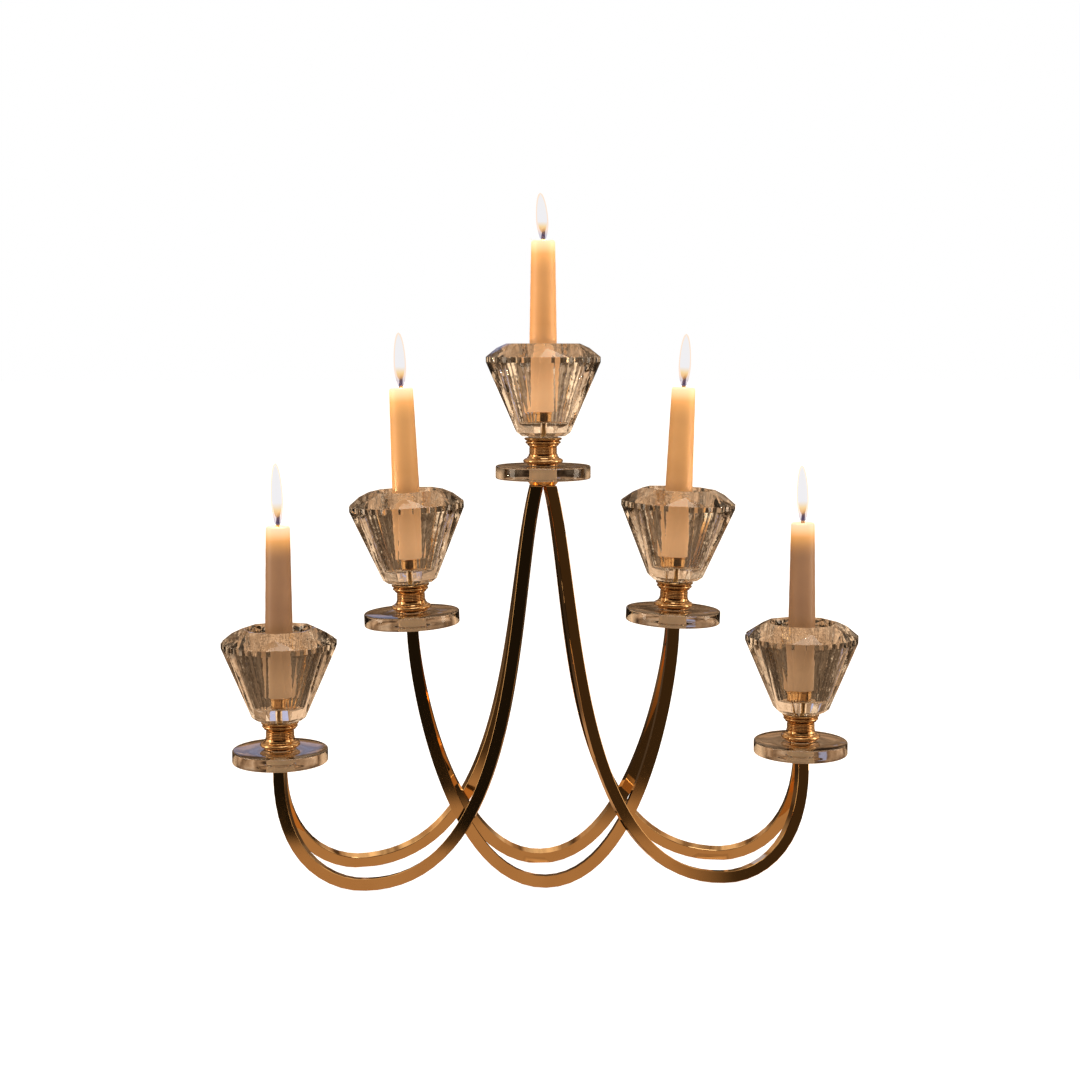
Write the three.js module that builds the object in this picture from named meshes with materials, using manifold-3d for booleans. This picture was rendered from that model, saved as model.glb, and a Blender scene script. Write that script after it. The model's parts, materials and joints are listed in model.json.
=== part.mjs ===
// Five-light tabletop candelabra in polished brass and cut crystal.
// Millimetres, +Z up, +X to the viewer's right, +Y away from the viewer. The part stands on z = 0.
// Three U-shaped loops of square bar, each a front and a back bar side by side, carry five
// candle holders: left loop 1 and 3, middle loop 2 and 4, right loop 3 and 5.
import * as THREE from "three";
import { ConvexGeometry } from "three/addons/geometries/ConvexGeometry.js";
import { mergeVertices } from "three/addons/utils/BufferGeometryUtils.js";
import Module from "manifold-3d";

const GAP = 0.3; // between faces that touch on the real object

// where the five holders stand: the middle of each glass disc's underside
const OUTER_REACH = 222;
const MIDDLE_REACH = 110.5;
const OUTER_HEIGHT = 101.5;
const MIDDLE_HEIGHT = 217;
const CENTRE_HEIGHT = 339.5;
const OUTER_LEAN = 0; // degrees, outwards
const MIDDLE_LEAN = 2.4;

// square bars of the loops
const BAR = 9.5;
const PAIR_GAP = 0.7; // between a front bar and its back bar under the holders
const FOOT_FLAT = 0.6; // ground off the edge that each bar stands on
const SIDE_LOW_X = 155.5; // lowest point of the left and right loops, from the middle
const MIDDLE_SPREAD = 34.5; // from the middle plane to the middle loop's bars, at their lowest point
const CROSSING_GAP = 1; // between a side loop's bar and the middle loop's bar that it passes outside
const INNER_LEAN = 14; // degrees, of the side loops' bars under the centre holder
const SIDE_OUTER_DROP = 82; // how far each end of a loop runs on before it curves away
const SIDE_INNER_DROP = 98.5;
const MIDDLE_DROP = 54;
const SIDE_INNER_FLOOR = 137.5; // how far the curve stays low, inwards of the lowest point
const SIDE_OUTER_FLOOR = 16;
const MIDDLE_FLOOR = 77;
const BAR_STEPS = 56;

// collars brazed on the bars' upper ends
const COLLAR_D = 22.5;
const CENTRE_COLLAR_D = 27;
const COLLAR_H = 4;
const CENTRE_COLLAR_H = 5;
const COLLAR_BEVEL = 1.6;

// threaded stud that holds a holder together
const STUD_D = 6;

// thick clear glass disc and the white bush in its hole
const DISC_D = 80;
const DISC_H = 11;
const DISC_EDGE = 1.2; // arris radius
const BUSH_D = 15;

// turned brass stem
const STEM_H = 23;
const STEM_FOOT_D = 27;
const STEM_BULGE_D = 33.6;
const STEM_NECK_D = 23.4;
const STEM_RING_D = 29.6;
const STEM_TOP_D = 31.6;

// soft washer under the cup
const WASHER_D = 25;
const WASHER_H = 1;

// cut crystal cup, heights above its own base
const CUP_GIRDLE_D = 96.6;
const CUP_GIRDLE_Z = 61.8;
const CUP_GIRDLE_BAND = 4.4;
const CUP_CROWN_D = 78.5;
const CUP_CROWN_Z = 73.6;
const CUP_SHOULDER_D = 67;
const CUP_SHOULDER_Z = 76.2;
const CUP_RIM_D = 62;
const CUP_H = 77.4;
const CUP_FLUTES = 24;
const CUP_FACETS = 8;
const CUP_STEP_D = 54;
const CUP_STEP_Z = 13.5;
const CUP_BASE_D = 48.4;
const CUP_BASE_Z = 3.4;
const CUP_FOOT_D = 39;
const CUP_FLOOR_Z = 13;
const CUP_FLOOR_D = 31;
const CUP_MOUTH_D = 55.5;
const CUP_HOLE_D = 9;

// brass candle socket
const SOCKET_D = 20.4;
const SOCKET_H = 9.7;
const SOCKET_BASE = 3.8;
const SOCKET_WALL = 2.2;

// candle and wick
const CANDLE_D = 24.6;
const CANDLE_TOP_D = 20;
const CANDLE_H = 140; // above the socket
const TENON_H = 5.2; // trimmed foot that stands in the socket
const CANDLE_SHOULDER = 1.6;
const CANDLE_DISH_D = 11;
const CANDLE_DISH = 1.4;
const WICK_D = 2.2;
const WICK_OUT = 13;

// how round the turned pieces are drawn
const FINE = 40;
const MEDIUM = 24;
const COARSE = 12;

const manifold = await Module();
manifold.setup();

const brass = { color: 0xd9a050, roughness: 0.14, metalness: 1 };
const darkBrass = { color: 0xb98a48, roughness: 0.3, metalness: 1 };
const crystal = { color: 0xf2ece4, roughness: 0.02, metalness: 0, transparent: true, opacity: 0.35 };
const nylon = { color: 0xe8dcc8, roughness: 0.6, metalness: 0 };
const wax = { color: 0xf6e2bc, roughness: 0.45, metalness: 0 };
const cotton = { color: 0x2a211b, roughness: 0.95, metalness: 0 };
const rubber = { color: 0xdedad2, roughness: 0.7, metalness: 0 };

function named(name, geometry, look) {
  const mesh = new THREE.Mesh(geometry, new THREE.MeshStandardMaterial(look));
  mesh.name = name;
  return mesh;
}

function radians(degrees) {
  return THREE.MathUtils.degToRad(degrees);
}

// Turned piece about Z. The outline is a closed loop of [radius, height], outside going up.
function turned(outline, segments) {
  const points = outline.map(([r, z]) => new THREE.Vector2(r, z));
  points.push(points[0].clone());
  const geometry = new THREE.LatheGeometry(points, segments);
  geometry.rotateX(Math.PI / 2);
  return geometry;
}

function solid(geometry) {
  const bare = new THREE.BufferGeometry();
  const loose = geometry.index ? geometry.toNonIndexed() : geometry;
  bare.setAttribute("position", loose.getAttribute("position"));
  const merged = mergeVertices(bare, 1e-4);
  return new manifold.Manifold(
    new manifold.Mesh({
      numProp: 3,
      vertProperties: merged.getAttribute("position").array,
      triVerts: new Uint32Array(merged.index.array),
    }),
  );
}

function geometryOf(body) {
  const mesh = body.getMesh();
  const geometry = new THREE.BufferGeometry();
  geometry.setAttribute("position", new THREE.BufferAttribute(mesh.vertProperties, 3));
  geometry.setIndex(new THREE.BufferAttribute(mesh.triVerts, 1));
  const flat = geometry.toNonIndexed();
  flat.computeVertexNormals();
  return flat;
}

// Ring of points at one height, the first one turned by `start` steps.
function ring(diameter, z, count, start = 0) {
  return Array.from({ length: count }, (_, i) => {
    const angle = ((i + start) / count) * 2 * Math.PI;
    return new THREE.Vector3(0, -diameter / 2, z).applyAxisAngle(new THREE.Vector3(0, 0, 1), angle);
  });
}

// Heights of a holder's pieces above the underside of its disc, each seated on the one below.
const STEM_Z = DISC_H + GAP;
const WASHER_Z = STEM_Z + STEM_H + GAP;
const CUP_Z = WASHER_Z + WASHER_H + GAP;
const SOCKET_Z = CUP_Z + CUP_FLOOR_Z + GAP;
const CANDLE_Z = SOCKET_Z + SOCKET_H + GAP;
const STUD_HOLE_R = STUD_D / 2 + GAP;

function tube(outerD, innerR, low, high, segments) {
  const outer = outerD / 2;
  return turned([[innerR, low], [outer, low], [outer, high], [innerR, high]], segments);
}

function collar(diameter, height) {
  const r = diameter / 2;
  const low = -GAP - height;
  const outline = [
    [STUD_HOLE_R, low],
    [r - COLLAR_BEVEL, low],
    [r - COLLAR_BEVEL * 0.3, low + COLLAR_BEVEL * 0.6],
    [r, low + COLLAR_BEVEL * 1.5],
    [r, -GAP],
    [STUD_HOLE_R, -GAP],
  ];
  return turned(outline, MEDIUM);
}

function stud(collarHeight) {
  const low = -GAP - collarHeight;
  const high = SOCKET_Z + SOCKET_BASE - GAP;
  return turned([[0, low], [STUD_D / 2, low], [STUD_D / 2, high], [0, high]], COARSE);
}

function disc() {
  const r = DISC_D / 2;
  const hole = BUSH_D / 2 + GAP;
  const soft = DISC_EDGE * 0.3;
  const outline = [
    [hole, 0],
    [r - DISC_EDGE, 0],
    [r - soft, soft],
    [r, DISC_EDGE],
    [r, DISC_H - DISC_EDGE],
    [r - soft, DISC_H - soft],
    [r - DISC_EDGE, DISC_H],
    [hole, DISC_H],
  ];
  return turned(outline, FINE);
}

// Foot, round bulge, neck and three stepped rings under the cup.
function stem() {
  const bulgeLow = STEM_H * 0.07;
  const bulgeMid = STEM_H * 0.16;
  const neckLow = STEM_H * 0.5;
  const neckHigh = STEM_H * 0.6;
  const step = (STEM_H - neckHigh) / 4;
  const ringR = STEM_RING_D / 2;
  const neckR = STEM_NECK_D / 2;
  const stepR = (ringR - neckR) / 2;
  const outline = [
    [STUD_HOLE_R, 0],
    [STEM_FOOT_D / 2, 0],
    [STEM_FOOT_D / 2, bulgeLow * 0.6],
    [STEM_BULGE_D / 2 - 1, bulgeLow],
    [STEM_BULGE_D / 2, bulgeMid],
    [STEM_BULGE_D / 2 - 1.4, bulgeMid + STEM_H * 0.09],
    [neckR + 0.8, neckLow - STEM_H * 0.05],
    [neckR, neckLow],
    [neckR, neckHigh],
    [neckR + stepR, neckHigh + step * 0.5],
    [neckR + stepR, neckHigh + step * 1.4],
    [ringR, neckHigh + step * 2],
    [ringR, neckHigh + step * 2.8],
    [STEM_TOP_D / 2, neckHigh + step * 3.2],
    [STEM_TOP_D / 2, STEM_H],
    [STUD_HOLE_R, STEM_H],
  ];
  return turned(outline, MEDIUM).translate(0, 0, STEM_Z);
}

// Brilliant-cut outside, plain tapered well inside, one hole through the thick floor.
function cup() {
  const outside = new ConvexGeometry([
    ...ring(CUP_FOOT_D, 0, CUP_FACETS, 0.5),
    ...ring(CUP_BASE_D, CUP_BASE_Z, CUP_FACETS, 0.5),
    ...ring(CUP_STEP_D, CUP_STEP_Z, CUP_FLUTES, 0.5),
    ...ring(CUP_GIRDLE_D, CUP_GIRDLE_Z, CUP_FLUTES, 0.5),
    ...ring(CUP_GIRDLE_D, CUP_GIRDLE_Z + CUP_GIRDLE_BAND, CUP_FLUTES, 0.5),
    ...ring(CUP_CROWN_D, CUP_CROWN_Z, CUP_FACETS),
    ...ring(CUP_SHOULDER_D, CUP_SHOULDER_Z, CUP_FACETS),
    ...ring(CUP_RIM_D, CUP_H, CUP_FACETS),
  ]);
  const well = turned(
    [
      [0, CUP_FLOOR_Z],
      [CUP_FLOOR_D / 2, CUP_FLOOR_Z],
      [CUP_MOUTH_D / 2, CUP_H],
      [CUP_MOUTH_D / 2, CUP_H + 1],
      [0, CUP_H + 1],
    ],
    MEDIUM,
  );
  const hole = turned(
    [[0, -1], [CUP_HOLE_D / 2, -1], [CUP_HOLE_D / 2, CUP_FLOOR_Z + 1], [0, CUP_FLOOR_Z + 1]],
    COARSE,
  );
  const cut = solid(outside).subtract(solid(well)).subtract(solid(hole));
  return geometryOf(cut).translate(0, 0, CUP_Z);
}

function socket() {
  const r = SOCKET_D / 2;
  const bore = r - SOCKET_WALL;
  const outline = [
    [STUD_HOLE_R, 0],
    [r, 0],
    [r, SOCKET_H],
    [bore, SOCKET_H],
    [bore, SOCKET_BASE],
    [STUD_HOLE_R, SOCKET_BASE],
  ];
  return turned(outline, MEDIUM).translate(0, 0, SOCKET_Z);
}

function candle() {
  const tenon = SOCKET_D / 2 - SOCKET_WALL - GAP;
  const bore = WICK_D / 2 + GAP;
  const top = CANDLE_TOP_D / 2;
  const outline = [
    [bore, -TENON_H],
    [tenon, -TENON_H],
    [tenon, 0],
    [CANDLE_D / 2, 0],
    [top, CANDLE_H - CANDLE_SHOULDER],
    [top - CANDLE_SHOULDER, CANDLE_H],
    [CANDLE_DISH_D / 2, CANDLE_H],
    [bore, CANDLE_H - CANDLE_DISH],
  ];
  return turned(outline, MEDIUM).translate(0, 0, CANDLE_Z);
}

function wick() {
  const r = WICK_D / 2;
  const low = 1 - TENON_H;
  const high = CANDLE_H + WICK_OUT;
  const outline = [[0, low], [r, low], [r, high - r], [r * 0.5, high], [0, high]];
  return turned(outline, COARSE).translate(0, 0, CANDLE_Z);
}

// One holder, from its collar up to its wick.
function holder(number, x, z, leanDegrees, collarD, collarH) {
  const group = new THREE.Group();
  group.position.set(x, 0, z);
  group.rotation.y = radians(leanDegrees);
  group.add(
    named(`collar_${number}`, collar(collarD, collarH), brass),
    named(`threaded_stud_${number}`, stud(collarH), darkBrass),
    named(`glass_disc_${number}`, disc(), crystal),
    named(`disc_bush_${number}`, tube(BUSH_D, STUD_HOLE_R, 0, DISC_H, MEDIUM), nylon),
    named(`brass_stem_${number}`, stem(), brass),
    named(
      `cup_washer_${number}`,
      tube(WASHER_D, STUD_HOLE_R, WASHER_Z, WASHER_Z + WASHER_H, MEDIUM),
      rubber,
    ),
    named(`crystal_cup_${number}`, cup(), crystal),
    named(`candle_socket_${number}`, socket(), brass),
    named(`candle_${number}`, candle(), wax),
    named(`wick_${number}`, wick(), cotton),
  );
  return group;
}

// Where a bar's centre line meets its collar, in the X-Z plane, and which way it goes down from there.
function squareEnd(x, z, leanDegrees) {
  const lean = radians(leanDegrees);
  const below = COLLAR_H + 2 * GAP;
  return {
    at: new THREE.Vector2(x - below * Math.sin(lean), z - below * Math.cos(lean)),
    down: new THREE.Vector2(-Math.sin(lean), -Math.cos(lean)),
    collarLean: lean,
    mitre: 0,
  };
}

// Under the centre holder the left and right bars meet in a V, cut level under the collar.
function mitredEnd(side) {
  const lean = radians(INNER_LEAN);
  const inset = BAR / 2 / Math.cos(lean) + PAIR_GAP / 2;
  return {
    at: new THREE.Vector2(side * inset, CENTRE_HEIGHT - CENTRE_COLLAR_H - 2 * GAP),
    down: new THREE.Vector2(side * Math.sin(lean), -Math.cos(lean)),
    collarLean: 0,
    mitre: side,
  };
}

// A bar's centre line is flat. It leans about the line through its two ends, where it touches the
// other bar of the loop, so that its lowest point is `spread` from the middle plane.
function leanOf(loop, lowZ) {
  const { start, end, lowX, spread } = loop;
  const rise = (end.at.y - start.at.y) / (end.at.x - start.at.x);
  const depth = (p) => start.at.y + rise * (p.x - start.at.x) - p.y;
  let offset = BAR / 2;
  let slope = 0;
  for (let pass = 0; pass < 6; pass++) {
    slope = (spread - offset) / depth(new THREE.Vector2(lowX, lowZ));
    const twist = Math.atan(slope * Math.abs(rise));
    const cornerReach = (BAR / 2) * (Math.cos(twist) + Math.sin(twist)) * Math.hypot(1, slope);
    offset = cornerReach + PAIR_GAP / 2;
  }
  return { rise, slope, outward: (p) => offset + slope * depth(p) };
}

// Height of the centre line where the bar's lower edge, less its ground flat, is on the table.
function footHeight(loop) {
  let height = BAR / 2;
  for (let pass = 0; pass < 6; pass++) {
    const { rise, slope } = leanOf(loop, height);
    const twist = Math.hypot(1, slope * rise);
    const reach = (slope + twist) / Math.hypot(twist, slope);
    height = (BAR / 2) * reach - FOOT_FLAT;
  }
  return height;
}

// What is cut away above one end, so that it is flush under its collar.
function endCut({ at, collarLean }) {
  const block = new THREE.BoxGeometry(4 * BAR, 8 * BAR, 2 * BAR).translate(0, 0, BAR);
  return solid(block.rotateY(collarLean).translate(at.x, 0, at.y));
}

// The space a bar may fill: above the table and, where it ends in a mitre, on its own side of the V.
function roomFor({ end }) {
  const high = 2 * CENTRE_HEIGHT;
  const wide = 4 * OUTER_REACH;
  const aside = end.mitre * (wide / 2 + PAIR_GAP / 2);
  return solid(new THREE.BoxGeometry(wide, wide, high).translate(aside, 0, high / 2));
}

// A loop's centre line in the X-Z plane, as control points, with a straight overrun at both ends.
function controlPoints(loop) {
  const { start, end } = loop;
  const low = new THREE.Vector2(loop.lowX, footHeight(loop));
  const along = new THREE.Vector2(Math.sign(end.at.x - start.at.x), 0);
  return [
    start.at.clone().addScaledVector(start.down, -BAR),
    start.at,
    start.at.clone().addScaledVector(start.down, loop.startDrop),
    low.clone().addScaledVector(along, -loop.startFloor),
    low,
    low.clone().addScaledVector(along, loop.endFloor),
    end.at.clone().addScaledVector(end.down, loop.endDrop),
    end.at,
    end.at.clone().addScaledVector(end.down, -BAR),
  ];
}

// Where the inner half of a side loop crosses the middle loop, seen from the front.
function crossingOf(side, middle) {
  const inner = new THREE.CubicBezierCurve(...controlPoints(side).slice(4, 8)).getPoints(200);
  const points = controlPoints(middle);
  const near = side.lowX < 0 ? points.slice(1, 5) : points.slice(4, 8);
  const other = new THREE.CubicBezierCurve(...near).getPoints(200);
  let best = { apart: Infinity, at: inner[0] };
  for (const p of inner) {
    for (const q of other) {
      const apart = p.distanceTo(q);
      if (apart < best.apart) best = { apart, at: p };
    }
  }
  return best.at;
}

// How far a leaning bar reaches from its centre line towards the front or the back.
function thicknessReach({ rise, slope }) {
  const tilt = Math.atan(slope * Math.hypot(1, rise));
  return (BAR / 2) * (Math.cos(tilt) + Math.sin(tilt));
}

// The side loops splay just enough to pass outside the middle loop.
function splayed(side, middle) {
  const loop = { ...side, spread: MIDDLE_SPREAD };
  for (let pass = 0; pass < 12; pass++) {
    const at = crossingOf(loop, middle);
    const inside = leanOf(middle, footHeight(middle));
    const outside = leanOf(loop, footHeight(loop));
    const clear = thicknessReach(inside) + thicknessReach(outside) + CROSSING_GAP;
    loop.spread += (inside.outward(at) + clear - outside.outward(at)) / 2;
  }
  return loop;
}

// One square bar, bent in two curves that meet at its lowest point. `face` is -1 in front, 1 behind.
function bar(name, loop, face) {
  const { outward } = leanOf(loop, footHeight(loop));
  const centreLine = controlPoints(loop).map((p) => new THREE.Vector3(p.x, face * outward(p), p.y));

  const [, first, , , lowest, , , last] = centreLine;
  const across = last.clone().sub(first).normalize();
  const normal = lowest.clone().sub(first).cross(across).normalize();
  const plane = new THREE.Matrix4().makeBasis(across, normal, across.clone().cross(normal));
  plane.setPosition(first);
  const toPlane = plane.clone().invert();
  const flat = centreLine.map((p) => p.clone().applyMatrix4(toPlane));

  const path = new THREE.CurvePath();
  path.add(new THREE.LineCurve3(flat[0], flat[1]));
  path.add(new THREE.CubicBezierCurve3(...flat.slice(1, 5)));
  path.add(new THREE.CubicBezierCurve3(...flat.slice(4, 8)));
  path.add(new THREE.LineCurve3(flat[7], flat[8]));
  const half = BAR / 2;
  const section = new THREE.Shape([
    new THREE.Vector2(-half, -half),
    new THREE.Vector2(half, -half),
    new THREE.Vector2(half, half),
    new THREE.Vector2(-half, half),
  ]);
  const stock = new THREE.ExtrudeGeometry(section, {
    steps: BAR_STEPS,
    bevelEnabled: false,
    extrudePath: path,
  }).applyMatrix4(plane);
  const cut = solid(stock).subtract(endCut(loop.start)).subtract(endCut(loop.end));
  return named(name, geometryOf(cut.intersect(roomFor(loop))), brass);
}

// The left loop is side -1 and the right loop side 1, the same loop handed.
function sideLoop(side) {
  return {
    start: squareEnd(side * OUTER_REACH, OUTER_HEIGHT, side * OUTER_LEAN),
    end: mitredEnd(side),
    lowX: side * SIDE_LOW_X,
    startDrop: SIDE_OUTER_DROP,
    startFloor: SIDE_OUTER_FLOOR,
    endFloor: SIDE_INNER_FLOOR,
    endDrop: SIDE_INNER_DROP,
  };
}

function middleLoop() {
  return {
    start: squareEnd(-MIDDLE_REACH, MIDDLE_HEIGHT, -MIDDLE_LEAN),
    end: squareEnd(MIDDLE_REACH, MIDDLE_HEIGHT, MIDDLE_LEAN),
    lowX: 0,
    startDrop: MIDDLE_DROP,
    startFloor: MIDDLE_FLOOR,
    endFloor: MIDDLE_FLOOR,
    endDrop: MIDDLE_DROP,
    spread: MIDDLE_SPREAD,
  };
}

const candelabra = new THREE.Group();
const middle = middleLoop();
for (const [place, loop] of [
  ["left", splayed(sideLoop(-1), middle)],
  ["middle", middle],
  ["right", splayed(sideLoop(1), middle)],
]) {
  candelabra.add(bar(`${place}_front_bar`, loop, -1), bar(`${place}_back_bar`, loop, 1));
}
candelabra.add(
  holder(1, -OUTER_REACH, OUTER_HEIGHT, -OUTER_LEAN, COLLAR_D, COLLAR_H),
  holder(2, -MIDDLE_REACH, MIDDLE_HEIGHT, -MIDDLE_LEAN, COLLAR_D, COLLAR_H),
  holder(3, 0, CENTRE_HEIGHT, 0, CENTRE_COLLAR_D, CENTRE_COLLAR_H),
  holder(4, MIDDLE_REACH, MIDDLE_HEIGHT, MIDDLE_LEAN, COLLAR_D, COLLAR_H),
  holder(5, OUTER_REACH, OUTER_HEIGHT, OUTER_LEAN, COLLAR_D, COLLAR_H),
);

export default candelabra;
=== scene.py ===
import json
from math import atan2, cos, pi, radians, sin

import bpy
from mathutils import Matrix, Vector

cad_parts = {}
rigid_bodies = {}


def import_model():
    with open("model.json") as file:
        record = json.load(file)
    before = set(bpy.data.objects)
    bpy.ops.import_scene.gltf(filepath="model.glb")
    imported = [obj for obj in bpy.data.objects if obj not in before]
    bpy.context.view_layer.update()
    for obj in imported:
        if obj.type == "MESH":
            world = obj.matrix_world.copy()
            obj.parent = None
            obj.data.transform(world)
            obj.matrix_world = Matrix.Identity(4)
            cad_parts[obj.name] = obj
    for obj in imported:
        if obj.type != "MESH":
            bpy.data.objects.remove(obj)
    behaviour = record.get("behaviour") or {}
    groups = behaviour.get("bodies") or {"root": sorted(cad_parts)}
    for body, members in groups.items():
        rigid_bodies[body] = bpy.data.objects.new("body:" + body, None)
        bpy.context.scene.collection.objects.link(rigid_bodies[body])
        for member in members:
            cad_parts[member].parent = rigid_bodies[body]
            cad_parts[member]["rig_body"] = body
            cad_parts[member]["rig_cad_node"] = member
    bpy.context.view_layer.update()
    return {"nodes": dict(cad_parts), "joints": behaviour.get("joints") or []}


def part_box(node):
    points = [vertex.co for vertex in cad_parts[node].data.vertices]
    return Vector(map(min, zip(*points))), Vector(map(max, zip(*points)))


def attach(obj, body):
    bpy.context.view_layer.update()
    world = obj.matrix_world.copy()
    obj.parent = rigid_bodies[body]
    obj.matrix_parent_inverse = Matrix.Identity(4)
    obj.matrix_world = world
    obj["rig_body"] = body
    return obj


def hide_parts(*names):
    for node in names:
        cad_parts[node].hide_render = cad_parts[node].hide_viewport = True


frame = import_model()
MM = 0.001


# ---------------------------------------------------------------- camera
# Eye level with the third candle's cup, a step and a half in front of the stand,
# a little to its left and turned back towards it.
EYE = (-0.0956, -1.3961, 0.4504)
EYE_DOWN = 0.07
EYE_TURN = 0.0665
LENS = 55.57
FRAME_DROP = -0.0711

camera = bpy.data.objects.new("camera", bpy.data.cameras.new("camera"))
bpy.context.scene.collection.objects.link(camera)
camera.location = EYE
camera.rotation_euler = (pi / 2 - EYE_DOWN, 0, -EYE_TURN)
camera.data.sensor_width = 36
camera.data.lens = LENS
camera.data.shift_y = FRAME_DROP
bpy.context.scene.camera = camera


# ---------------------------------------------------------------- bars
# Six lengths of square brass bar, bent cold to their loops and leaning apart at the foot.
# The long edges are drawn slightly round, and the faces are polished and lacquered.
BAR_EDGE = 0.8 * MM
BRASS = (0.84, 0.59, 0.3)
BRASS_DEEP = (0.72, 0.45, 0.19)


class Wire:
    """One output of a shader node. Sums and products of wires add their own Math nodes."""

    def __init__(self, tree, socket=None):
        self.tree, self.socket = tree, socket

    def node(self, kind, settings=(), sockets=(), out=0):
        made = self.tree.nodes.new(kind)
        for name, value in dict(settings).items():
            if name == "stops":
                ramp = made.color_ramp
                while len(ramp.elements) < len(value):
                    ramp.elements.new(0.5)
                for element, (place, colour) in zip(ramp.elements, value):
                    element.position, element.color = place, (*colour, 1)
            else:
                setattr(made, name, value)
        for name, value in dict(sockets).items():
            if isinstance(value, Wire):
                self.tree.links.new(value.socket, made.inputs[name])
            else:
                made.inputs[name].default_value = value
        return Wire(self.tree, made.outputs[out]) if made.outputs else None

    def maths(self, operation, first, second=0.0):
        return self.node("ShaderNodeMath", {"operation": operation}, {0: first, 1: second})

    def __add__(self, other):
        return self.maths("ADD", self, other)

    def __sub__(self, other):
        return self.maths("SUBTRACT", self, other)

    def __rsub__(self, other):
        return self.maths("SUBTRACT", other, self)

    def __mul__(self, other):
        return self.maths("MULTIPLY", self, other)

    def __pow__(self, other):
        return self.maths("POWER", self, other)

    __radd__, __rmul__ = __add__, __mul__

    def noise(self, scale, detail=2.0, where=None):
        return self.node(
            "ShaderNodeTexNoise",
            {},
            {"Vector": where or self.place(), "Scale": scale, "Detail": detail},
        )

    def place(self):
        return self.node("ShaderNodeTexCoord", out="Object")

    def band(self, value, low, high, start=0.0, end=1.0):
        return self.node(
            "ShaderNodeMapRange",
            {"clamp": True},
            {"Value": value, "From Min": low, "From Max": high, "To Min": start, "To Max": end},
        )

    def tint(self, share, first, second):
        return self.node(
            "ShaderNodeMix",
            {"data_type": "RGBA"},
            {
                "Factor": share,
                6: first if isinstance(first, Wire) else (*first, 1),
                7: second if isinstance(second, Wire) else (*second, 1),
            },
            out=2,
        )

    def grain(self, height, strength, depth):
        return self.node(
            "ShaderNodeBump", {}, {"Height": height, "Strength": strength, "Distance": depth}
        )


def finish_of(name):
    """A new material, as the wire its nodes are made from and the material itself."""
    material = bpy.data.materials.new(name)
    material.use_nodes = True
    material.node_tree.nodes.clear()
    return Wire(material.node_tree), material


def surface(wire, sockets):
    shader = wire.node("ShaderNodeBsdfPrincipled", {}, sockets)
    wire.node("ShaderNodeOutputMaterial", {}, {"Surface": shader})


def polished_brass(name, bright, deep, gloss):
    wire, material = finish_of(name)
    handled = wire.band(wire.noise(22, 3), 0.42, 0.7)
    specks = wire.band(wire.noise(900, 2), 0.66, 0.78)
    hairlines = wire.noise(2600, 1)
    surface(
        wire,
        {
            "Base Color": wire.tint(handled * 0.4 + specks * 0.12, bright, deep),
            "Metallic": 1.0,
            "Roughness": gloss + handled * 0.03 + specks * 0.08,
            "Normal": wire.grain(hairlines + handled * 2, 0.02, 0.03 * MM),
        },
    )
    return material


def edit(piece):
    """Opens one piece alone in edit mode, with nothing in it selected."""
    if bpy.context.object and bpy.context.object.mode == "EDIT":
        bpy.ops.object.mode_set(mode="OBJECT")
    bpy.ops.object.select_all(action="DESELECT")
    piece.select_set(True)
    bpy.context.view_layer.objects.active = piece
    bpy.ops.object.mode_set(mode="EDIT")
    bpy.ops.mesh.select_all(action="DESELECT")


def done(piece, smooth_below, edge=0.0, segments=2, sharper_than=30.0):
    """Closes edit mode, rounds the sharp edges and smooths what is gentler than an angle."""
    bpy.ops.object.mode_set(mode="OBJECT")
    if edge:
        rounding = piece.modifiers.new("edges", "BEVEL")
        rounding.width, rounding.segments = edge, segments
        rounding.limit_method, rounding.angle_limit = "ANGLE", radians(sharper_than)
        bpy.ops.object.modifier_apply(modifier=rounding.name)
    bpy.ops.object.shade_smooth_by_angle(angle=radians(smooth_below))
    return piece


def copy_of(node, name):
    piece = frame["nodes"][node].copy()
    piece.data = frame["nodes"][node].data.copy()
    piece.name = piece.data.name = name
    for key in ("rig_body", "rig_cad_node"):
        del piece[key]
    piece.parent = None
    bpy.context.scene.collection.objects.link(piece)
    return piece


def dress(piece, material, slot, body, *nodes):
    piece.data.materials.clear()
    piece.data.materials.append(material)
    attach(piece, body)
    if nodes:
        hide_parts(*nodes)


brass = polished_brass("polished_brass", BRASS, BRASS_DEEP, 0.035)
for side in ("left", "middle", "right"):
    for face in ("front", "back"):
        bar = copy_of(f"{side}_{face}_bar", f"{side}_{face}_loop")
        edit(bar)
        bpy.ops.mesh.select_all(action="SELECT")
        bpy.ops.mesh.remove_doubles(threshold=0.01 * MM)
        bpy.ops.mesh.tris_convert_to_quads(
            face_threshold=radians(30), shape_threshold=radians(60)
        )
        done(bar, 18, BAR_EDGE)
        dress(bar, brass, "brass", "stand", f"{side}_{face}_bar")


# ---------------------------------------------------------------- collars
# Under each glass disc a turned brass collar is brazed to the ends of the bars.
# The centre one is larger, because two pairs of bars meet under it.
COLLAR_ROUND = 0.35 * MM
COLLAR_BORE_R = 3.3
TURNED_STEPS = 96


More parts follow.
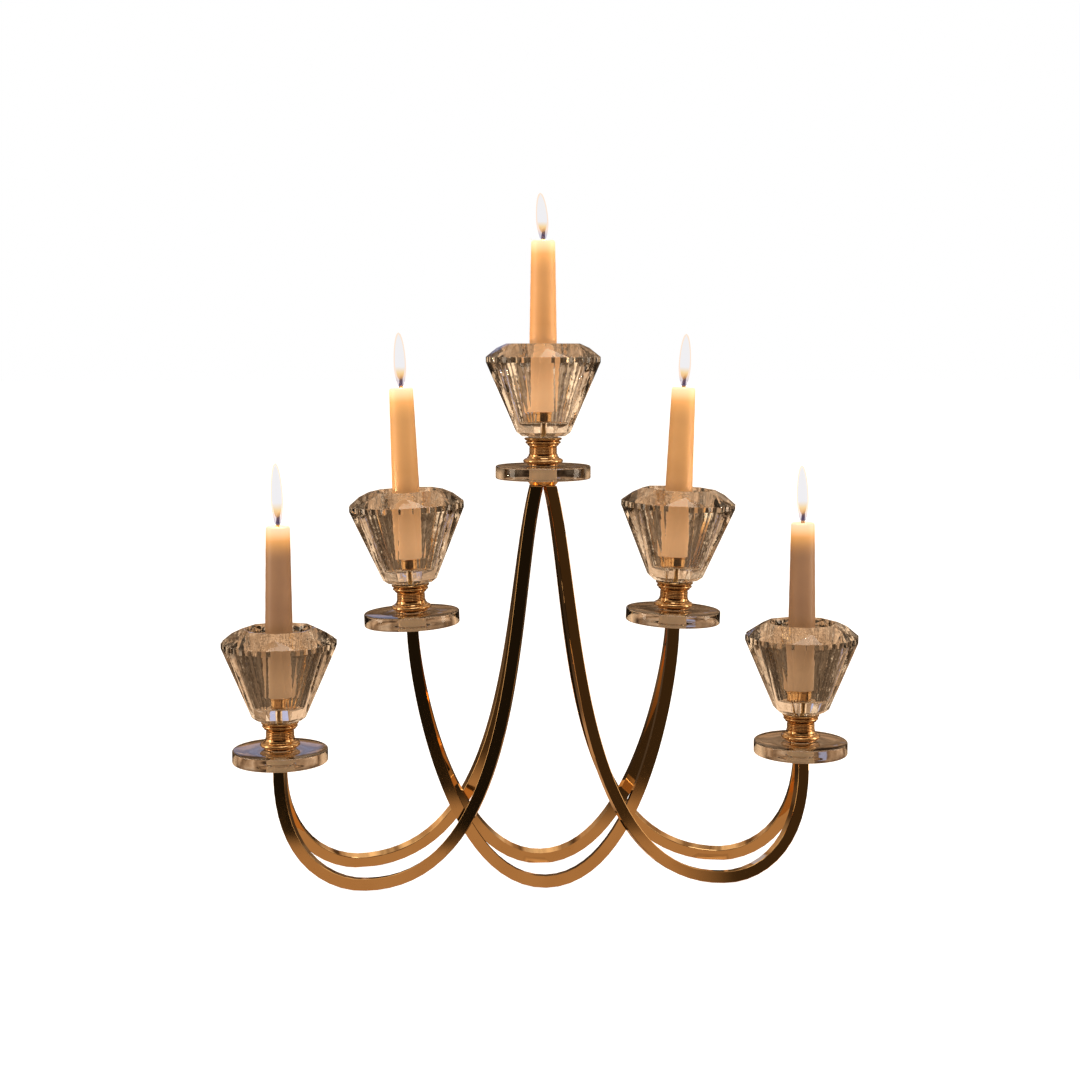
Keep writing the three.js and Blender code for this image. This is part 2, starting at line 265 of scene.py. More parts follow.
def turned(name, outline, steps=TURNED_STEPS):
    """Spins an outline of (radius, height) points in mm round the upright axis, and closes it."""
    bpy.ops.object.select_all(action="DESELECT")
    bpy.ops.mesh.primitive_plane_add(size=MM)
    piece = bpy.context.object
    piece.name = piece.data.name = name
    edit(piece)
    bpy.ops.object.mode_set(mode="OBJECT")
    for vertex in piece.data.vertices:
        vertex.select = vertex.index > 0
    bpy.ops.object.mode_set(mode="EDIT")
    bpy.ops.mesh.delete(type="VERT")
    bpy.ops.mesh.select_all(action="SELECT")
    corner = Vector((-MM / 2, -MM / 2, 0))
    points = [Vector((radius * MM, 0, height * MM)) for radius, height in outline]
    bpy.ops.transform.translate(value=points[0] - corner)
    for here, there in zip(points, points[1:]):
        bpy.ops.mesh.extrude_vertices_move(TRANSFORM_OT_translate={"value": there - here})
    bpy.ops.mesh.select_all(action="SELECT")
    bpy.ops.mesh.spin(steps=steps, angle=2 * pi, center=(0, 0, 0), axis=(0, 0, 1))
    bpy.ops.mesh.select_all(action="SELECT")
    bpy.ops.mesh.remove_doubles(threshold=0.01 * MM)
    bpy.ops.mesh.normals_make_consistent(inside=False)
    return piece


def loop_of(*points):
    return [*points, points[0]]


def holder_place(number):
    """Where a holder stands: it leans as its candle lifts, and its zero is the disc's underside."""
    low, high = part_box(f"disc_bush_{number}")
    axis = next(Vector(j["axis"]) for j in frame["joints"] if j["name"] == f"candle_{number}_lift")
    bush_low, bush_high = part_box("disc_bush_1")
    middle = (bush_high.z - bush_low.z) / 2
    lean = Vector((0, 0, 1)).rotation_difference(axis).to_matrix().to_4x4()
    return Matrix.Translation((low + high) / 2 - axis.normalized() * middle) @ lean


def stood(source, name, number):
    """A copy of a piece made on the upright axis, set on one holder with its own mesh."""
    piece = source.copy()
    piece.data = source.data.copy()
    piece.name = piece.data.name = f"{name}_{number}"
    piece.data.transform(holder_place(number))
    bpy.context.scene.collection.objects.link(piece)
    return piece


HOLDERS = range(1, 6)
for number in HOLDERS:
    low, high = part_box("collar_3" if number == 3 else "collar_1")
    radius, height = (high.x - low.x) / 2 / MM, (high.z - low.z) / MM
    top = (low.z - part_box("disc_bush_3" if number == 3 else "disc_bush_1")[0].z) / MM + height
    pattern = turned(
        "collar_pattern",
        loop_of(
            (COLLAR_BORE_R, top - height),
            (radius - 2.6, top - height),
            (radius - 0.9, top - height * 0.55),
            (radius, top - height * 0.42),
            (radius, top - 0.1),
            (radius - 1.2, top),
            (COLLAR_BORE_R, top),
        ),
    )
    done(pattern, 40, COLLAR_ROUND, 3)
    dress(stood(pattern, "brass_collar", number), brass, "brass", "stand", f"collar_{number}")
    bpy.data.objects.remove(pattern)


# ---------------------------------------------------------------- threaded studs
# One brass stud runs up through each holder and draws its pieces together.
# Its thread is rolled, with rounded crests, and it is never polished.
STUD_CREST = 3.0
STUD_ROOT = 2.6
STUD_PITCH = 1.0
THREAD = ((STUD_ROOT, 0.12), (STUD_CREST, 0.42), (STUD_CREST, 0.58), (STUD_ROOT, 0.88))
THREAD_STEPS = 24

stud_brass = polished_brass("stud_brass", (0.6, 0.42, 0.19), (0.32, 0.2, 0.08), 0.3)
for number in HOLDERS:
    like = 3 if number == 3 else 1
    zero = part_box(f"disc_bush_{like}")[0].z
    low, high = ((corner.z - zero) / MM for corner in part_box(f"threaded_stud_{like}"))
    turns = int((high - low) / STUD_PITCH)
    thread = [(0, low), (STUD_ROOT, low)]
    for turn in range(turns):
        root = low + turn * STUD_PITCH
        thread += [(radius, root + rise) for radius, rise in THREAD]
    thread += [(STUD_ROOT, high), (0, high)]
    pattern = turned("stud_pattern", thread, THREAD_STEPS)
    done(pattern, 20)
    stud = stood(pattern, "stud", number)
    dress(stud, stud_brass, "stud_brass", "stand", f"threaded_stud_{number}")
    bpy.data.objects.remove(pattern)


# ---------------------------------------------------------------- glass discs
# A thick disc of clear glass, drilled through its middle and polished all over.
# Its rims are ground to a small round, which catches a thin line of light.
DISC_RIM = 1.3 * MM
DISC_BORE_R = 7.6
DISC_STEPS = 128


def clear_glass(name, tone, clouded, ripple):
    """Clear glass with a faint bloom of polish. ripple is the depth of its surface waves in mm."""
    wire, material = finish_of(name)
    bloom = wire.band(wire.noise(60, 3), 0.45, 0.75)
    surface(
        wire,
        {
            "Base Color": wire.tint(bloom * 0.6, tone, clouded),
            "Roughness": bloom * 0.012 + 0.002,
            "Transmission Weight": 1.0,
            "IOR": 1.52,
            "Normal": wire.grain(wire.noise(130, 2), 1.0, ripple * MM),
        },
    )
    return material


# The disc glass's warm brown tint is a painted reflection of a warm room; the glass itself is
# clear.
disc_glass_painted_reflection = clear_glass("disc_glass_painted_reflection", (0.66, 0.59, 0.52), (0.6, 0.53, 0.46), 0.012)
low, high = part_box("glass_disc_1")
radius, height = (high.x - low.x) / 2 / MM, (high.z - low.z) / MM
disc = turned(
    "disc_pattern",
    loop_of((DISC_BORE_R, 0), (radius, 0), (radius, height), (DISC_BORE_R, height)),
    DISC_STEPS,
)
done(disc, 40, DISC_RIM, 4)
for number in HOLDERS:
    dress(stood(disc, "disc", number), disc_glass_painted_reflection, "crystal", "stand", f"glass_disc_{number}")
bpy.data.objects.remove(disc)


# ---------------------------------------------------------------- bushes
# A pale nylon bush lines each disc's bore, so that the stud never touches the glass.
# It is moulded and pressed in tight, so the disc magnifies it. A faint glow is painted into its
# emission.
nylon_wire, nylon = finish_of("pale_nylon_painted_glow")
mottle = nylon_wire.noise(260, 3)
surface(
    nylon_wire,
    {
        "Base Color": nylon_wire.tint(mottle, (0.9, 0.68, 0.44), (0.76, 0.55, 0.34)),
        "Roughness": mottle * 0.2 + 0.35,
        # Painted glow: the emission makes the bush shine, though it is no lamp.
        "Emission Color": nylon_wire.tint(mottle, (0.5, 0.36, 0.22), (0.4, 0.28, 0.17)),
        "Emission Strength": 0.5,
        "Normal": nylon_wire.grain(mottle, 0.1, 0.05 * MM),
    },
)
BUSH_R = 7.66
BUSH_H = 11
BUSH_ROUND = 0.4 * MM
STUD_ROOM_R = 3.4
bush = turned(
    "bush_pattern",
    loop_of((STUD_ROOM_R, 0), (BUSH_R, 0), (BUSH_R, BUSH_H), (STUD_ROOM_R, BUSH_H)),
)
done(bush, 40, BUSH_ROUND)
for number in HOLDERS:
    dress(stood(bush, "nylon_bush", number), nylon, "nylon", "stand", f"disc_bush_{number}")
bpy.data.objects.remove(bush)


# ---------------------------------------------------------------- stems
# Each cup stands on a short brass stem, turned with a round bulge on a stepped foot,
# four fine beads round the neck, and a rolled ring under the cup.
STEM_BEADS = 4
BEAD_LOW = 10.2
BEAD_PITCH = 1.3


def arc(centre_r, centre_z, radius_r, radius_z, start, end, steps):
    """Points on a quarter or half round of an outline, with its angles in degrees."""
    angles = [radians(start + (end - start) * step / steps) for step in range(steps + 1)]
    return [(centre_r + radius_r * cos(a), centre_z + radius_z * sin(a)) for a in angles]


stem_low, stem_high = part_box("brass_stem_1")
stem_zero = (stem_low.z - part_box("disc_bush_1")[0].z) / MM
stem_top = (stem_high.z - stem_low.z) / MM
stem_outline = [(STUD_ROOM_R, 0), (13.1, 0), (13.5, 0.3), (13.5, 0.8), (13.0, 1.0)]
stem_outline += arc(12.3, 3.6, 4.5, 2.5, -75, 72, 18)
stem_outline += [(13.4, 6.4), (13.4, 7.0), (12.7, 7.3), (12.3, 8.2), (12.2, 9.2), (11.6, 9.5)]
for bead in range(STEM_BEADS):
    stem_outline += arc(11.0, BEAD_LOW + bead * BEAD_PITCH, 0.95, 0.55, -80, 80, 8)
stem_outline += [(11.5, 14.9), (11.7, 15.6), (12.4, 16.4)]
stem_outline += [(13.3, 16.9), (13.3, 17.5), (12.9, 17.7)]
stem_outline += arc(13.4, 19.2, 1.5, 1.2, -80, 80, 12)
stem_outline += [(13.5, 20.7), (14.6, 21.0), (15.5, 21.5), (15.8, 22.1), (15.8, stem_top - 0.4)]
stem_outline += [(15.3, stem_top), (STUD_ROOM_R, stem_top)]
stem_outline = [(radius, height + stem_zero) for radius, height in stem_outline]
stem = turned("stem_pattern", loop_of(*stem_outline))
done(stem, 32)
stem_brass = polished_brass("turned_brass", (0.64, 0.43, 0.22), (0.42, 0.27, 0.13), 0.05)
for number in HOLDERS:
    dress(stood(stem, "stem", number), stem_brass, "brass", "stand", f"brass_stem_{number}")
bpy.data.objects.remove(stem)


# ---------------------------------------------------------------- washers
# A soft clear washer keeps the cup's base off the brass. It bulges slightly at its edge,
# where the stud has squeezed it.
WASHER_R = 12.2
WASHER_BULGE = 0.3
WASHER_BORE_R = 3.6
WASHER_STEPS = 64
washer_wire, washer_clear = finish_of("soft_washer")
cloud = washer_wire.noise(320, 2)
surface(
    washer_wire,
    {
        "Base Color": washer_wire.tint(cloud, (0.8, 0.7, 0.58), (0.66, 0.55, 0.44)),
        "Roughness": cloud * 0.2 + 0.4,
        "Transmission Weight": 0.35,
        "IOR": 1.45,
        "Normal": washer_wire.grain(cloud, 0.15, 0.05 * MM),
    },
)
washer_low, washer_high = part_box("cup_washer_1")
washer_zero = (washer_low.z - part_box("disc_bush_1")[0].z) / MM
thick = (washer_high.z - washer_low.z) / MM
squeezed = arc(WASHER_R, washer_zero + thick / 2, WASHER_BULGE, thick / 2, -90, 90, 6)
washer = turned(
    "washer_pattern",
    loop_of((WASHER_BORE_R, washer_zero), *squeezed, (WASHER_BORE_R, washer_zero + thick)),
    WASHER_STEPS,
)
done(washer, 50)
for number in HOLDERS:
    ring = stood(washer, "soft_washer", number)
    dress(ring, washer_clear, "washer", "stand", f"cup_washer_{number}")
bpy.data.objects.remove(washer)


# ---------------------------------------------------------------- crystal cups
# The cup is one block of heavy crystal, cut outside like a gem: eight facets at the base,
# twenty-four flutes up to the girdle and an eight-sided crown, with a plain conical well inside.
CUP_EDGE = 0.35 * MM
FACETS = 8
FLUTES = 24
CUP_RINGS = (  # width, height, corners, share of a corner it is turned by
    (39, 0, FACETS, 0.5),
    (48.4, 3.4, FACETS, 0.5),
    (54, 13.5, FLUTES, 0.5),
    (96.6, 61.8, FLUTES, 0.5),
    (96.6, 66.2, FLUTES, 0.5),
    (78.5, 73.6, FACETS, 0),
    (67, 76.2, FACETS, 0),
    (62, 77.4, FACETS, 0),
)
WELL_FLOOR = (31, 13)  # width, height
WELL_MOUTH = 55.5
WELL_CORNER = 2
FLUTE_RINGS = ((13.5, 0.35), (61.8, 0.75), (66.2, 0.75))  # height, depth of the hollow
AT_RING = 0.05 * MM
FLUTE_STRIPS = 6
STUD_HOLE = 5.9

cup_low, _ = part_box("crystal_cup_1")
cup_zero = (cup_low.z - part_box("disc_bush_1")[0].z) / MM
bpy.ops.object.select_all(action="DESELECT")
bpy.ops.mesh.primitive_circle_add(vertices=3, radius=MM)
cup = bpy.context.object
cup.name = cup.data.name = "cup_pattern"
edit(cup)
bpy.ops.mesh.select_all(action="SELECT")
bpy.ops.mesh.delete(type="VERT")
for width, height, corners, turn in CUP_RINGS:
    bpy.ops.mesh.primitive_circle_add(
        vertices=corners,
        radius=width / 2 * MM,
        location=(0, 0, (height + cup_zero) * MM),
        rotation=(0, 0, 2 * pi * turn / corners),
    )
bpy.ops.mesh.select_all(action="SELECT")
bpy.ops.mesh.convex_hull()
bpy.ops.mesh.select_all(action="SELECT")
bpy.ops.mesh.dissolve_limited(angle_limit=radians(1))
bpy.ops.mesh.select_all(action="DESELECT")
bpy.ops.mesh.select_mode(type="EDGE")
bpy.ops.object.mode_set(mode="OBJECT")
levels = [(cup_zero + height) * MM for height, _ in FLUTE_RINGS]
for rim_edge in cup.data.edges:
    ends = [cup.data.vertices[index].co.z for index in rim_edge.vertices]
    rim_edge.select = any(max(abs(end - level) for end in ends) < AT_RING for level in levels)
bpy.ops.object.mode_set(mode="EDIT")
bpy.ops.mesh.subdivide(number_cuts=FLUTE_STRIPS - 1, ngon=True)
bpy.ops.mesh.select_mode(type="VERT")
bpy.ops.object.mode_set(mode="OBJECT")
flute = 2 * pi / FLUTES
for vertex in cup.data.vertices:
    for height, depth in FLUTE_RINGS:
        if abs(vertex.co.z - (cup_zero + height) * MM) < AT_RING:
            across = (atan2(vertex.co.y, vertex.co.x) / flute - 0.5) % 1 * 2 - 1
            inward = (1 - across**2) * depth * MM / vertex.co.xy.length
            vertex.co.x *= 1 - inward
            vertex.co.y *= 1 - inward
floor_r, floor_z = WELL_FLOOR[0] / 2, WELL_FLOOR[1] + cup_zero
mouth_z = CUP_RINGS[-1][1] + cup_zero
slope = (WELL_MOUTH / 2 - floor_r) / (mouth_z - floor_z)
well = turned(
    "well_cutter",
    [
        (0, cup_zero - 1),
        (STUD_HOLE / 2, cup_zero - 1),
        (STUD_HOLE / 2, floor_z),
        (floor_r - WELL_CORNER, floor_z),
        *arc(
            floor_r - WELL_CORNER, floor_z + WELL_CORNER, WELL_CORNER, WELL_CORNER, -70, -10, 5
        ),
        (WELL_MOUTH / 2 + slope * 2, mouth_z + 2),
        (0, mouth_z + 2),
    ],
)
bpy.ops.object.mode_set(mode="OBJECT")
bpy.ops.object.select_all(action="DESELECT")
cup.select_set(True)
bpy.context.view_layer.objects.active = cup
cutting = cup.modifiers.new("well", "BOOLEAN")
cutting.object, cutting.operation, cutting.solver = well, "DIFFERENCE", "EXACT"
bpy.ops.object.modifier_apply(modifier=cutting.name)
bpy.data.objects.remove(well)
edit(cup)
done(cup, 8, CUP_EDGE, 2, 9)
crystal = clear_glass("cut_crystal", (1.0, 0.98, 0.95), (0.96, 0.93, 0.88), 0.25)
for number in HOLDERS:
    dress(stood(cup, "cup", number), crystal, "crystal", "stand", f"crystal_cup_{number}")
bpy.data.objects.remove(cup)


# ---------------------------------------------------------------- candle sockets
# A small turned brass socket sits on the cup's floor, screwed down on the stud.
# Its thin wall is slightly flared at the lip and takes the candle's tenon.
SOCKET_WALL = 2.2
SOCKET_BASE = 3.8
socket_low, socket_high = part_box("candle_socket_1")
socket_zero = (socket_low.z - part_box("disc_bush_1")[0].z) / MM
socket_top = socket_zero + (socket_high.z - socket_low.z) / MM
socket_r = (socket_high.x - socket_low.x) / 2 / MM
socket = turned(
    "socket_pattern",
    loop_of(
        (STUD_ROOM_R, socket_zero),
        (socket_r - 0.5, socket_zero),
        (socket_r, socket_zero + 0.5),
        (socket_r, socket_zero + 1.2),
        (socket_r - 0.5, socket_zero + 1.7),
        (socket_r - 0.5, socket_top - 1.7),
        (socket_r, socket_top - 1.2),
        (socket_r, socket_top - 0.3),
        (socket_r - 0.4, socket_top),
        (socket_r - 1.6, socket_top),
        (socket_r - SOCKET_WALL, socket_top - 0.8),
        (socket_r - SOCKET_WALL, socket_zero + SOCKET_BASE),
        (STUD_ROOM_R, socket_zero + SOCKET_BASE),
    ),
)
done(socket, 35)
for number in HOLDERS:
    seat = stood(socket, "socket", number)
    dress(seat, stem_brass, "brass", "stand", f"candle_socket_{number}")
bpy.data.objects.remove(socket)


# ---------------------------------------------------------------- candles
# Tapered ivory candles, dipped, with a shouldered tenon at the foot for the socket.
# The lit end has melted to a soft rim round a shallow dish. The wax's glow under the flame is
# painted light in its emission, as is the light the crystal adds lower down.
candle_low, candle_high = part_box("candle_1")
candle_zero = (candle_low.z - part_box("disc_bush_1")[0].z) / MM
candle_top = candle_zero + (candle_high.z - candle_low.z) / MM
candle_r = (candle_high.x - candle_low.x) / 2 / MM
TENON_R = 7.6
TENON_H = 5.2
TOP_R = 10.0
DIP_STEPS = 24
DIP_RIPPLE = 0.06


def taper(height):
    share = (height - candle_zero - TENON_H) / (candle_top - candle_zero - TENON_H)
    return candle_r + (TOP_R - candle_r) * share


body_start = candle_zero + TENON_H
candle_outline = [(0, candle_zero), (TENON_R - 0.5, candle_zero), (TENON_R, candle_zero + 0.6)]
candle_outline += [(TENON_R, body_start), (candle_r - 1.4, body_start)]
candle_outline += arc(candle_r - 1.0, body_start + 1.2, 1.0, 1.2, -75, 0, 5)
for step in range(1, DIP_STEPS):
    height = body_start + 1.2 + (candle_top - 4.5 - body_start) * step / DIP_STEPS
    candle_outline.append((taper(height) + DIP_RIPPLE * sin(step * 1.9), height))
candle_outline += arc(TOP_R - 1.9, candle_top - 2.4, 1.95, 2.4, 0, 90, 8)
candle_outline += [(TOP_R - 3.2, candle_top - 0.25), (5.4, candle_top - 0.9)]
candle_outline += [(3.0, candle_top - 1.5)]
candle_outline += [(1.6, candle_top - 1.5), (0, candle_top - 1.2)]


def wax(name, painted_glow_colour, lit, ivory, clouded):
    """Ivory wax with painted light in its emission. hot is the colour of the painted light from the
    flame on its top, lit the share of painted light the crystal adds below.
    """
    wire, material = finish_of(name)
    height = wire.node("ShaderNodeAttribute", {"attribute_name": "from_top"}, out="Fac")
    cloud = wire.noise(90, 3)
    # Painted light in the emission: a warm painted glow over the top few centimetres, a pale
    # painted glow at the very top, and painted light from the crystal lower down.
    painted_glow_near_top = (1 - wire.band(height, 0.0, 0.03)) ** 2.0
    rim = (1 - wire.band(height, 0.0, 0.012)) ** 1.2
    foot = wire.band(height, 0.07, 0.125) * lit
    painted_emission = wire.tint(painted_glow_near_top, (0.0, 0.0, 0.0), painted_glow_colour)
    painted_emission = wire.tint(foot, painted_emission, (0.55, 0.33, 0.17))
    surface(
        wire,
        {
            "Base Color": wire.tint(cloud, ivory, clouded),
            "Roughness": cloud * 0.12 + 0.32,
            "Emission Color": wire.tint(rim, painted_emission, (0.45, 0.62, 0.5)),
            "Emission Strength": 1.0,
            "Normal": wire.grain(cloud, 0.12, 0.12 * MM),
        },
    )
    return material


candle = turned("candle_pattern", candle_outline)
done(candle, 40)
heights = [candle_top * MM - vertex.co.z for vertex in candle.data.vertices]
from_top = candle.data.attributes.new("from_top", "FLOAT", "POINT")
from_top.data.foreach_set("value", heights)
# Lit and shaded copies of one ivory wax: the outer candles' wax is painted about half as bright, as
# painted shade, and each copy has its own painted glow and painted light below.
lit_and_shaded_waxes = {
    1: wax("wax_low", (1.5, 0.66, 0.13), 0.5, (0.35, 0.195, 0.1), (0.31, 0.17, 0.09)),
    2: wax("wax_mid", (0.95, 0.44, 0.12), 0.72, (0.69, 0.37, 0.135), (0.63, 0.335, 0.12)),
    3: wax("wax_high", (0.95, 0.42, 0.11), 1.0, (0.69, 0.36, 0.135), (0.63, 0.325, 0.12)),
}
for number in HOLDERS:
    dress(
        stood(candle, "taper", number),
        lit_and_shaded_waxes[min(number, 6 - number)],
        "wax",
        f"lift_candle_{number}",
        f"candle_{number}",
    )
bpy.data.objects.remove(candle)


# ---------------------------------------------------------------- wicks
# Plaited cotton, waxed white at the foot, charred black above the dish and bent over
# a little at its tip, which still glows.
WICK_R = 1.8
WICK_OUT = 13.0
WICK_DEEP = 3.0
WICK_BEND = 1.3
KNOTS = 16
KNOT_PITCH = 0.85
wick_wire, charred = finish_of("charred_cotton")
wick_height = wick_wire.node("ShaderNodeAttribute", {"attribute_name": "from_top"}, out="Fac")
plait = wick_wire.noise(1500, 2)
burnt = wick_wire.band(wick_height, 0.0005, 0.0025)
ember = wick_wire.band(wick_height, 0.0075, 0.012)
surface(
    wick_wire,
    {
        "Base Color": wick_wire.tint(burnt, (0.5, 0.36, 0.22), (0.02, 0.013, 0.012)),
        "Roughness": plait * 0.2 + 0.75,
        "Emission Color": wick_wire.tint(ember, (0, 0, 0), (0.9, 0.5, 0.14)),
        "Emission Strength": 1.0,
        "Normal": wick_wire.grain(plait, 0.6, 0.3 * MM),
    },
)
wick_outline = [(0, candle_top - WICK_DEEP), (WICK_R, candle_top - WICK_DEEP)]
for knot in range(KNOTS):
    height = candle_top - 1.0 + knot * KNOT_PITCH
    thin = 1 - 0.45 * (knot / KNOTS) ** 1.5
    wick_outline += [(WICK_R * thin, height), (WICK_R * thin * 0.86, height + 0.42)]
wick_outline += [(0.35, candle_top + WICK_OUT - 0.1), (0, candle_top + WICK_OUT)]
wick = turned("wick_pattern", wick_outline, 20)
done(wick, 50)
for vertex in wick.data.vertices:
    rise = max(0.0, (vertex.co.z / MM - candle_top) / WICK_OUT)
    vertex.co.x += WICK_BEND * MM * rise**2
rises = [vertex.co.z - candle_top * MM for vertex in wick.data.vertices]
from_top = wick.data.attributes.new("from_top", "FLOAT", "POINT")
from_top.data.foreach_set("value", rises)
for number in HOLDERS:
    dress(
        stood(wick, "burnt_wick", number),
        charred,
        "wick",
        f"lift_candle_{number}",
        f"wick_{number}",
    )
bpy.data.objects.remove(wick)


# ---------------------------------------------------------------- flames
# A still candle flame is a slim, round-ended drop that stands on the wax round the wick:
# a white heart in a thin orange skin, yellow just above the wick. No two are alike.
FLAME_START = 0.4
FLAME_TALL = {1: 53.0, 2: 46.0, 3: 39.2, 4: 45.0, 5: 49.0}
FLAME_LEAN = {1: -1.6, 2: 0.0, 3: -2.4, 4: 0.2, 5: -1.3}
FLAME_R = 5.1
FLAME_FOOT = 0.45  # share of its full radius at the foot
FLAME_WIDEST = 0.4  # share of its height
FLAME_TIP = 1.9
FLAME_STEPS = 32
FLAME_LIGHT = 0.25
FLAME_LIGHT_UP = 22
SKIN_THICK = 1.05
HEART_START = 4.5


def flame_shape(name, thinner, start, end):
    """A flame from one height to another, drawn in from its full outline by a thickness in mm."""
    outline = [(0, start)]
    for step in range(1, FLAME_STEPS):
        share = step / FLAME_STEPS
        swell = sin(pi / 2 * min(share / FLAME_WIDEST, 1))
        low = FLAME_FOOT + (1 - FLAME_FOOT) * swell
        past = max(share - FLAME_WIDEST, 0) / (1 - FLAME_WIDEST)
        high = (1 - past**FLAME_TIP) ** 0.5
        mouth = min(1, (step - 0.5) / 3) ** 0.5 if thinner else 1
        radius = max(FLAME_R * low * high - thinner, 0.2) * mouth
        outline.append((radius, start + (end - start) * share))
    shape = turned(name, [*outline, (0, end)], 40)
    done(shape, 60)
    rises = [(v.co.z / MM - start) / (end - start) for v in shape.data.vertices]
    up = shape.data.attributes.new("up", "FLOAT", "POINT")
    up.data.foreach_set("value", rises)
    return shape


def burning(name, stops, alpha_low, alpha_high, clear_below):
    """Glowing gas in one colour ramp from foot to tip, thinner below a share of its height."""
    wire, material = finish_of(name)
    up = wire.node("ShaderNodeAttribute", {"attribute_name": "up"}, out="Fac")
    flicker = wire.noise(140, 1)
    height = up + flicker * 0.04 - 0.02
    colour = wire.node("ShaderNodeValToRGB", {"stops": stops}, {"Fac": height})
    surface(
        wire,
        {
            "Base Color": (0, 0, 0, 1),
            "Roughness": 1.0,
            "Specular IOR Level": 0.0,
            "Alpha": wire.band(height, 0.0, clear_below, alpha_low, alpha_high),
            "Emission Color": colour,
            "Emission Strength": 1.0,
        },
    )
    return material


heart = burning(
    "flame_heart",
    (
        (0.0, (0.3, 0.1, 0.03)),
        (0.1, (0.8, 0.42, 0.12)),
        (0.2, (0.92, 0.75, 0.42)),
        (0.32, (0.83, 0.97, 1.1)),
        (1.0, (0.85, 0.97, 1.1)),
    ),
    0.1,
    1.0,
    0.2,
)
skin = burning(
    "flame_skin",
    (
        (0.0, (0.1, 0.12, 0.4)),
        (0.1, (0.3, 0.2, 0.35)),
        (0.22, (1.0, 0.55, 0.28)),
        (1.0, (1.0, 0.6, 0.26)),
    ),
    0.3,
    0.26,
    0.3,
)
for number in HOLDERS:
    tall = FLAME_TALL[number]
    body = f"lift_candle_{number}"
    for part, material, thinner, start, end in (
        ("flame_heart", heart, SKIN_THICK, HEART_START, tall - SKIN_THICK),
        ("flame_skin", skin, 0, FLAME_START, tall),
    ):
        pattern = flame_shape("flame_pattern", thinner, candle_top + start, candle_top + end)
        for vertex in pattern.data.vertices:
            rise = (vertex.co.z / MM - candle_top) / tall
            vertex.co.x += FLAME_LEAN[number] * MM * rise**1.3 if rise > 0 else 0
        flame = stood(pattern, part, number)
        flame.visible_shadow = False
        dress(flame, material, "flame", body)
        bpy.data.objects.remove(pattern)
    flame_light = bpy.data.objects.new(
        f"flame_light_{number}", bpy.data.lights.new("flame_light", "POINT")
    )
    bpy.context.scene.collection.objects.link(flame_light)
    flame_light.data.energy = FLAME_LIGHT
    flame_light.data.color = (1.0, 0.62, 0.3)
    flame_light.data.shadow_soft_size = 5 * MM
    flame_light.location = holder_place(number) @ Vector((0, 0, (candle_top + FLAME_LIGHT_UP) * MM))
    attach(flame_light, body)


# ---------------------------------------------------------------- floor and light
# A plain pale table under soft light, in a warm dim room that only the brass and the glass
# show: a pale window behind on the left, bright side walls and ceiling, boards underfoot.
bpy.ops.object.select_all(action="DESELECT")
bpy.ops.mesh.primitive_plane_add(size=40, location=(0, 0, -0.1 * MM))
table = bpy.context.object
table.name = "table"
table_wire, pale = finish_of("pale_table")
mottle = table_wire.noise(6, 3)
surface(
    table_wire,
    {
        "Base Color": table_wire.tint(mottle, (0.5, 0.495, 0.49), (0.48, 0.475, 0.47)),
        "Roughness": 0.9,
        "Specular IOR Level": 0.1,
        "Emission Color": (1.0, 1.0, 1.0, 1),
        "Emission Strength": 1.0,
    },
)
table.data.materials.append(pale)
table.visible_glossy = False
table.visible_transmission = False

room = bpy.data.worlds.new("room")
bpy.context.scene.world = room
room.use_nodes = True
room.node_tree.nodes.clear()
air = Wire(room.node_tree)
where = air.node("ShaderNodeTexCoord", out="Generated")
across, ahead, up = (
    air.node("ShaderNodeSeparateXYZ", {}, {"Vector": where}, out=letter) for letter in "XYZ"
)
blotches = {
    "stops": (
        (0.0, (0.03, 0.018, 0.01)),
        (0.38, (0.1, 0.057, 0.032)),
        (0.45, (0.33, 0.19, 0.1)),
        (0.53, (0.66, 0.41, 0.235)),
        (0.61, (0.95, 0.63, 0.39)),
        (0.74, (1.7, 1.27, 0.88)),
    )
}
shelves = air.node("ShaderNodeValToRGB", blotches, {"Fac": air.noise(3.4, 4, where)})
worn = air.band(air.noise(6, 2, where), 0.45, 0.65)
skirting = air.tint(worn, (0.036, 0.022, 0.012), (0.13, 0.08, 0.046))
shelves = air.tint(air.band(up, 0.02, 0.3), skirting, shelves)
grained = air.band(air.noise(9, 3, where), 0.4, 0.65)
boards = air.tint(grained, (0.22, 0.12, 0.06), (0.8, 0.47, 0.25))
shelves = air.tint(air.band(up, -0.35, -0.25, 1, 0), shelves, boards)
window = air.band(across, -0.2, -0.17) * air.band(across, -0.04, -0.02, 1, 0)
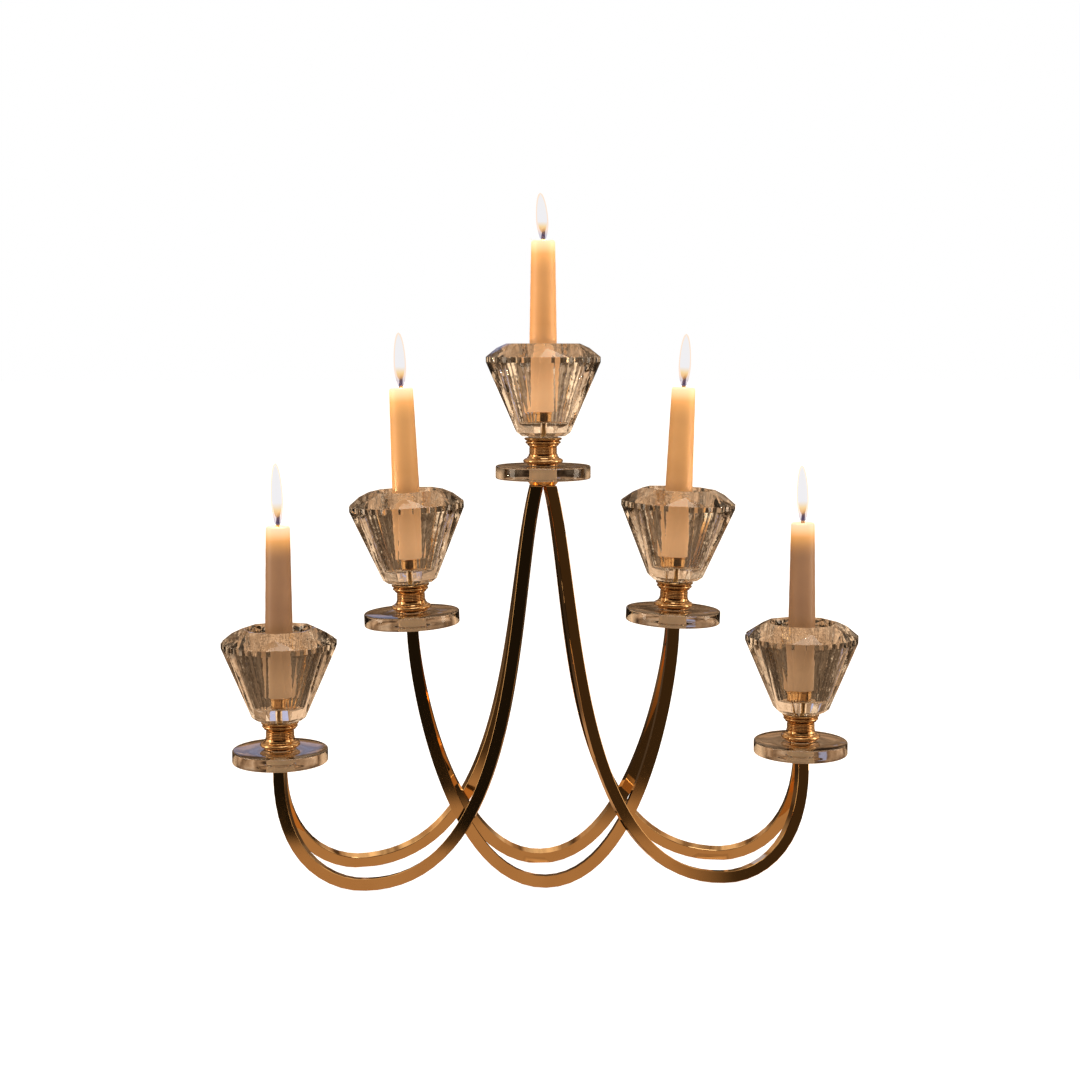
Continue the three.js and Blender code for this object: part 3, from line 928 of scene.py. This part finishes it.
window = window * air.band(up, 0.17, 0.2) * air.band(up, 0.3, 0.34, 1, 0)
behind = air.tint(window, shelves, (0.5, 0.52, 0.74))
dark = air.tint(air.band(across, 0.0, 0.16), (0.012, 0.009, 0.006), (0.05, 0.029, 0.014))
cloth = air.band(up, 0.008, 0.016, 1, 0) * air.band(up, -0.07, -0.05)
cloth = cloth * air.band(across, 0.46, 0.49, 1, 0) + air.band(up, -0.535, -0.52, 1, 0)
before = air.tint(cloth, dark, (0.48, 0.28, 0.15))
front = air.band(ahead, -0.75, -0.55, 1, 0)
walls = air.band(air.maths("ABSOLUTE", across), 0.72, 0.85) * air.band(up, -0.12, 0.0)
walls = walls * air.band(up, 0.4, 0.55, 1, 0)
behind = air.tint(walls, behind, (1.35, 0.95, 0.6))
beamed = air.band(air.noise(5, 3, where), 0.42, 0.62)
ceiling = air.tint(beamed, (0.28, 0.18, 0.11), (1.25, 0.92, 0.62))
shown = air.tint(air.band(up, 0.38, 0.6), air.tint(front, behind, before), ceiling)
seen = air.node("ShaderNodeLightPath", out="Is Camera Ray")
sky = air.node("ShaderNodeBackground", {}, {"Color": air.tint(seen, shown, (1, 1, 1))})
air.node("ShaderNodeOutputWorld", {}, {"Surface": sky})

for name, place, size, power, colour in (
    ("overhead", (0.2, -0.2, 1.7), (1.4, 0.9), 12, (1.0, 0.9, 0.78)),
    ("left_side", (-1.7, -0.2, 0.6), (0.5, 1.3), 7, (1.0, 0.84, 0.66)),
    ("right_side", (1.7, -0.2, 0.6), (0.5, 1.3), 7, (1.0, 0.84, 0.66)),
):
    lamp = bpy.data.objects.new(name, bpy.data.lights.new(name, "AREA"))
    bpy.context.scene.collection.objects.link(lamp)
    lamp.data.shape = "RECTANGLE"
    lamp.data.size, lamp.data.size_y = size
    lamp.data.energy, lamp.data.color = power, colour
    lamp.location = place
    lamp.rotation_euler = (Vector((0, 0, 0.25)) - Vector(place)).to_track_quat("-Z", "Y").to_euler()
    lamp.visible_camera = False
    lamp.visible_transmission = False

bpy.context.scene.view_settings.view_transform = "Standard"
